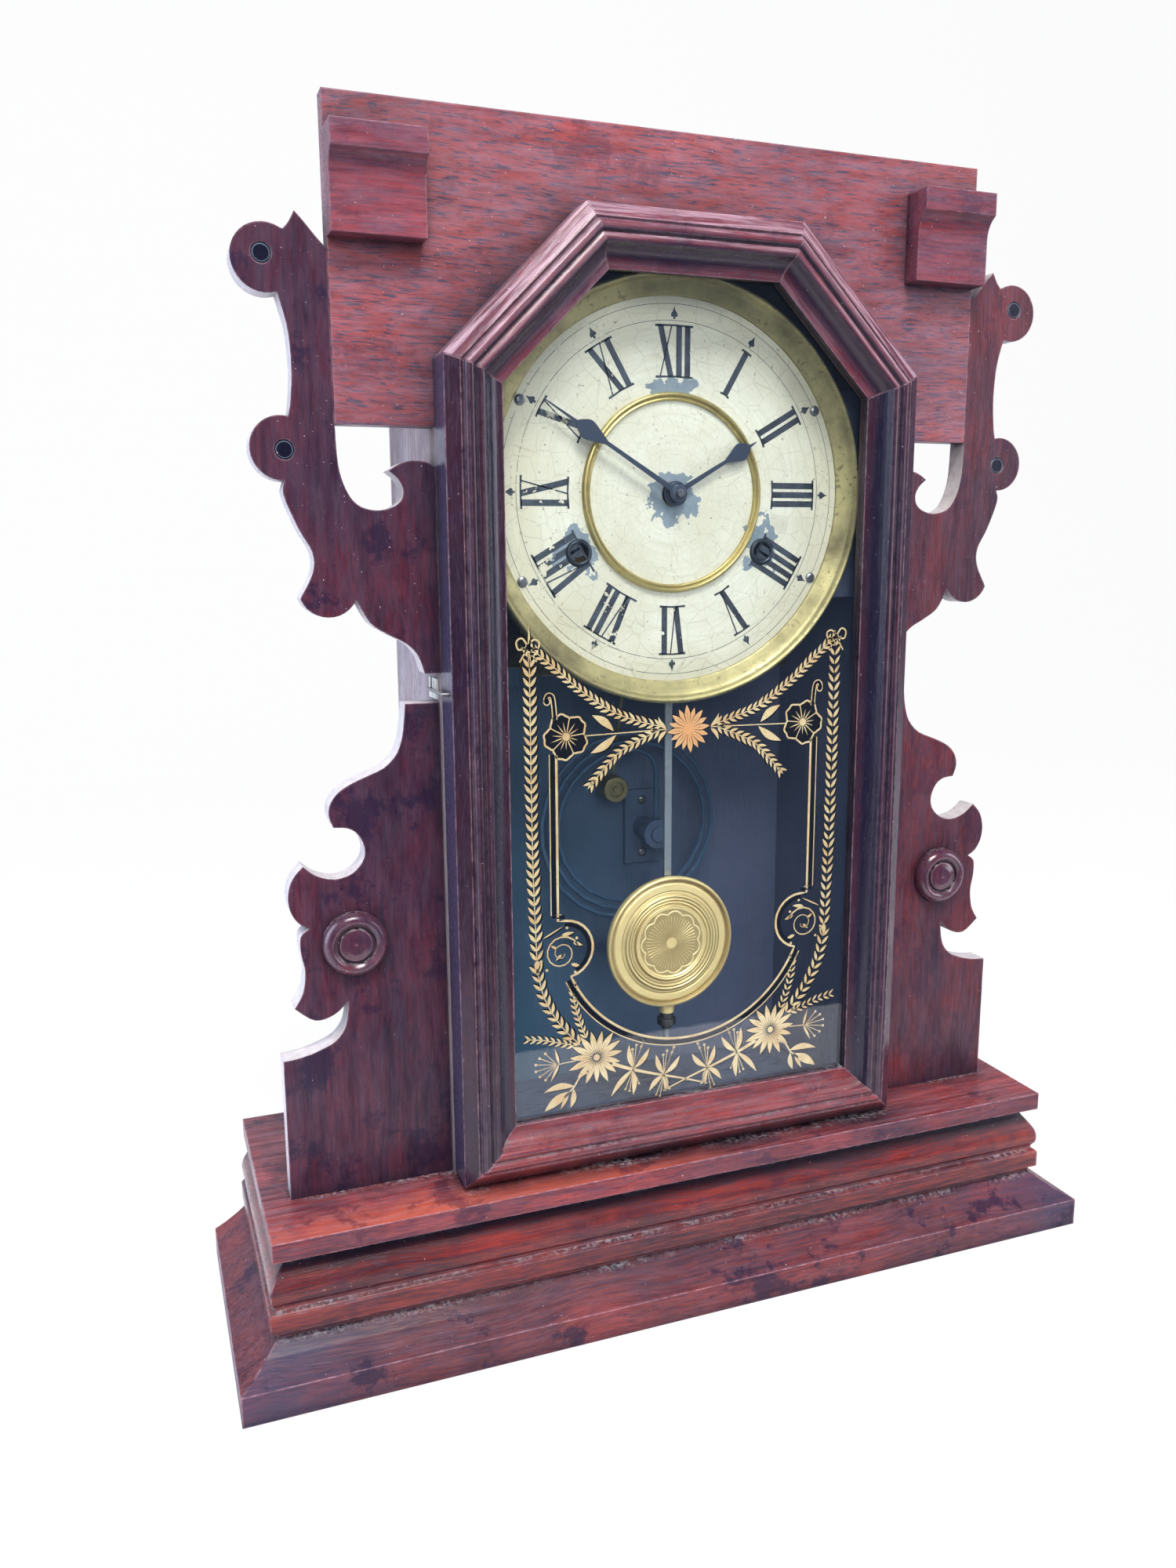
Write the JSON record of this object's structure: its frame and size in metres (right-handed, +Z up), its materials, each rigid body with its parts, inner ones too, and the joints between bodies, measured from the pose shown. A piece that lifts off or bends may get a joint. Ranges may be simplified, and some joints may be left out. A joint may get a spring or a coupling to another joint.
{
  "type": "mantel clock",
  "caption": "Gingerbread mantel clock with a scrolled wooden case, glazed swing door, striking spring movement, pendulum and coil gong.",
  "frame": {"origin": "centre of the base's underside, in width and depth", "axes": "+Z up, -Y towards the front with the dial, +X to the viewer's right when facing the dial"},
  "size_m": [0.386, 0.124, 0.475],
  "materials": {
    "walnut": "old oiled varnish, worn and dusty",
    "walnut_dark": "old dark varnish, scuffed",
    "pine_inner": "bare sawn softwood",
    "glass": "old sheet glass with gilt ornament on its back",
    "dial_paint": "cream paint, chipped and stained",
    "brass": "tarnished",
    "brass_bright": "polished, lightly tarnished",
    "steel": "dull grey",
    "blued_steel": "blued",
    "wire_dark": "blackened",
    "tinned": "dull tinned",
    "gong_steel": "blue-grey",
    "iron_block": "black japan"
  },
  "bodies": {
    "case": {"base_skirt": "walnut", "base_moulding": "walnut", "base_top_board": "walnut", "base_back_rail": "pine_inner", "case_side_left": "walnut_dark", "case_side_right": "walnut_dark", "case_top": "pine_inner", "backboard": "pine_inner", "case_blocks": "pine_inner", "crest_board": "walnut", "corbels": "walnut", "upper_scroll_left": "walnut_dark", "upper_scroll_right": "walnut_dark", "lower_scroll_left": "walnut_dark", "lower_scroll_right": "walnut_dark", "roundels": "walnut_dark", "hinge_case_leaves": "brass", "latch_plate": "tinned", "dial_plate": "dial_paint", "dial_bezel": "brass", "dial_inner_ring": "brass", "winding_grommets": "tinned", "wood_screws": "steel", "front_plate": "brass", "back_plate": "brass", "plate_pillars": "steel", "mainsprings": "blued_steel", "front_posts": "brass", "gong_base": "iron_block", "gong_coil": "gong_steel"},
    "door": {"door_stile_left": "walnut", "door_stile_right": "walnut", "door_slants": "walnut", "door_rail_top": "walnut", "door_rail_bottom": "walnut", "door_glass": "glass", "glass_beads": "walnut_dark", "hinge_door_leaves": "brass"},
    "door_hook": {"door_hook": "wire_dark"},
    "minute": {"minute_arbor": "steel", "minute_hand": "blued_steel"},
    "hour": {"hour_wheel": "brass", "hour_hand": "blued_steel"},
    "minute_wheel": {"minute_wheel": "brass"},
    "time_winding": {"time_winding_arbor": "steel"},
    "strike_winding": {"strike_winding_arbor": "steel"},
    "time_great": {"time_great_wheel": "brass"},
    "second": {"second_wheel": "brass"},
    "centre": {"centre_wheel": "brass"},
    "third": {"third_wheel": "brass"},
    "escape": {"escape_wheel": "brass_bright"},
    "strike_great": {"strike_great_wheel": "brass", "count_wheel": "brass"},
    "pin_wheel": {"pin_wheel": "brass"},
    "fly": {"fly": "brass_bright"},
    "verge": {"verge": "steel"},
    "pendulum": {"pendulum_rod": "steel"},
    "bob": {"pendulum_bob": "brass_bright"},
    "rating_nut": {"rating_nut": "brass"},
    "hammer": {"hammer": "brass"}
  },
  "joints": [
    {"name": "door_swing", "type": "hinge", "parent": "case", "child": "door", "pos_m": [0.1024, -0.0259, 0.228], "axis": [0, 0, 1], "range_deg": [0, 105]},
    {"name": "door_hook_lift", "type": "hinge", "parent": "door", "child": "door_hook", "pos_m": [-0.097, -0.034, 0.2655], "axis": [1, 0, 0], "range_deg": [0, 15]},
    {"name": "minute_turn", "type": "hinge", "parent": "case", "child": "minute", "pos_m": [0, -0.0035, 0.341], "axis": [0, 1, 0], "continuous": true},
    {"name": "hour_turn", "type": "hinge", "parent": "case", "child": "hour", "pos_m": [0, -0.0115, 0.341], "axis": [0, 1, 0], "continuous": true},
    {"name": "minute_wheel_turn", "type": "hinge", "parent": "case", "child": "minute_wheel", "pos_m": [0.0072, -0.0075, 0.35347], "axis": [0, 1, 0], "continuous": true},
    {"name": "time_winding_turn", "type": "hinge", "parent": "case", "child": "time_winding", "pos_m": [0.041, 0.0125, 0.3176], "axis": [0, 1, 0], "continuous": true},
    {"name": "strike_winding_turn", "type": "hinge", "parent": "case", "child": "strike_winding", "pos_m": [-0.041, 0.0125, 0.3176], "axis": [0, 1, 0], "continuous": true},
    {"name": "third_turn", "type": "hinge", "parent": "case", "child": "third", "pos_m": [0.00447, 0.0225, 0.31793], "axis": [0, 1, 0], "continuous": true},
    {"name": "centre_turn", "type": "hinge", "parent": "case", "child": "centre", "pos_m": [0, 0.0205, 0.341], "axis": [0, 1, 0], "continuous": true},
    {"name": "second_turn", "type": "hinge", "parent": "case", "child": "second", "pos_m": [0.02493, 0.0165, 0.34469], "axis": [0, 1, 0], "continuous": true},
    {"name": "time_great_turn", "type": "hinge", "parent": "case", "child": "time_great", "pos_m": [0.041, 0.0005, 0.3176], "axis": [0, 1, 0], "continuous": true},
    {"name": "escape_turn", "type": "hinge", "parent": "case", "child": "escape", "pos_m": [0, 0.0165, 0.3], "axis": [0, 1, 0], "continuous": true},
    {"name": "pin_wheel_turn", "type": "hinge", "parent": "case", "child": "pin_wheel", "pos_m": [-0.01643, 0.0165, 0.30039], "axis": [0, 1, 0], "continuous": true},
    {"name": "strike_great_turn", "type": "hinge", "parent": "case", "child": "strike_great", "pos_m": [-0.041, -0.0015, 0.3176], "axis": [0, 1, 0], "continuous": true},
    {"name": "fly_turn", "type": "hinge", "parent": "case", "child": "fly", "pos_m": [-0.02156, 0.0165, 0.2863], "axis": [0, 1, 0], "continuous": true},
    {"name": "pendulum_swing", "type": "hinge", "parent": "case", "child": "pendulum", "pos_m": [0, -0.013, 0.322], "axis": [0, 1, 0], "range_deg": [-4.5, 4.5]},
    {"name": "verge_rock", "type": "hinge", "parent": "case", "child": "verge", "pos_m": [0, -0.007, 0.322], "axis": [0, 1, 0], "range_deg": [-4.5, 4.5]},
    {"name": "bob_slide", "type": "slide", "parent": "pendulum", "child": "bob", "axis": [0, 0, 1], "range_m": [-0.005, 0.005]},
    {"name": "rating_nut_turn", "type": "hinge", "parent": "bob", "child": "rating_nut", "pos_m": [0, -0.013, 0.114], "axis": [0, 0, 1], "range_deg": [-2572, 2572]},
    {"name": "hammer_swing", "type": "hinge", "parent": "case", "child": "hammer", "pos_m": [0.004, 0.0215, 0.283], "axis": [0, 1, 0], "range_deg": [-8, 9]}
  ],
  "couplings": [
    {"joint": "hour_turn", "follows": "minute_turn", "ratio": 0.083333},
    {"joint": "minute_wheel_turn", "follows": "minute_turn", "ratio": -0.33333},
    {"joint": "centre_turn", "follows": "third_turn", "ratio": -0.11905},
    {"joint": "second_turn", "follows": "third_turn", "ratio": 0.019841},
    {"joint": "time_great_turn", "follows": "third_turn", "ratio": -0.0020886},
    {"joint": "escape_turn", "follows": "third_turn", "ratio": -10},
    {"joint": "strike_great_turn", "follows": "pin_wheel_turn", "ratio": -0.11111},
    {"joint": "fly_turn", "follows": "pin_wheel_turn", "ratio": -6.5},
    {"joint": "verge_rock", "follows": "pendulum_swing", "ratio": 1},
    {"joint": "rating_nut_turn", "follows": "bob_slide", "rad_per_m": 8976}
  ]
}
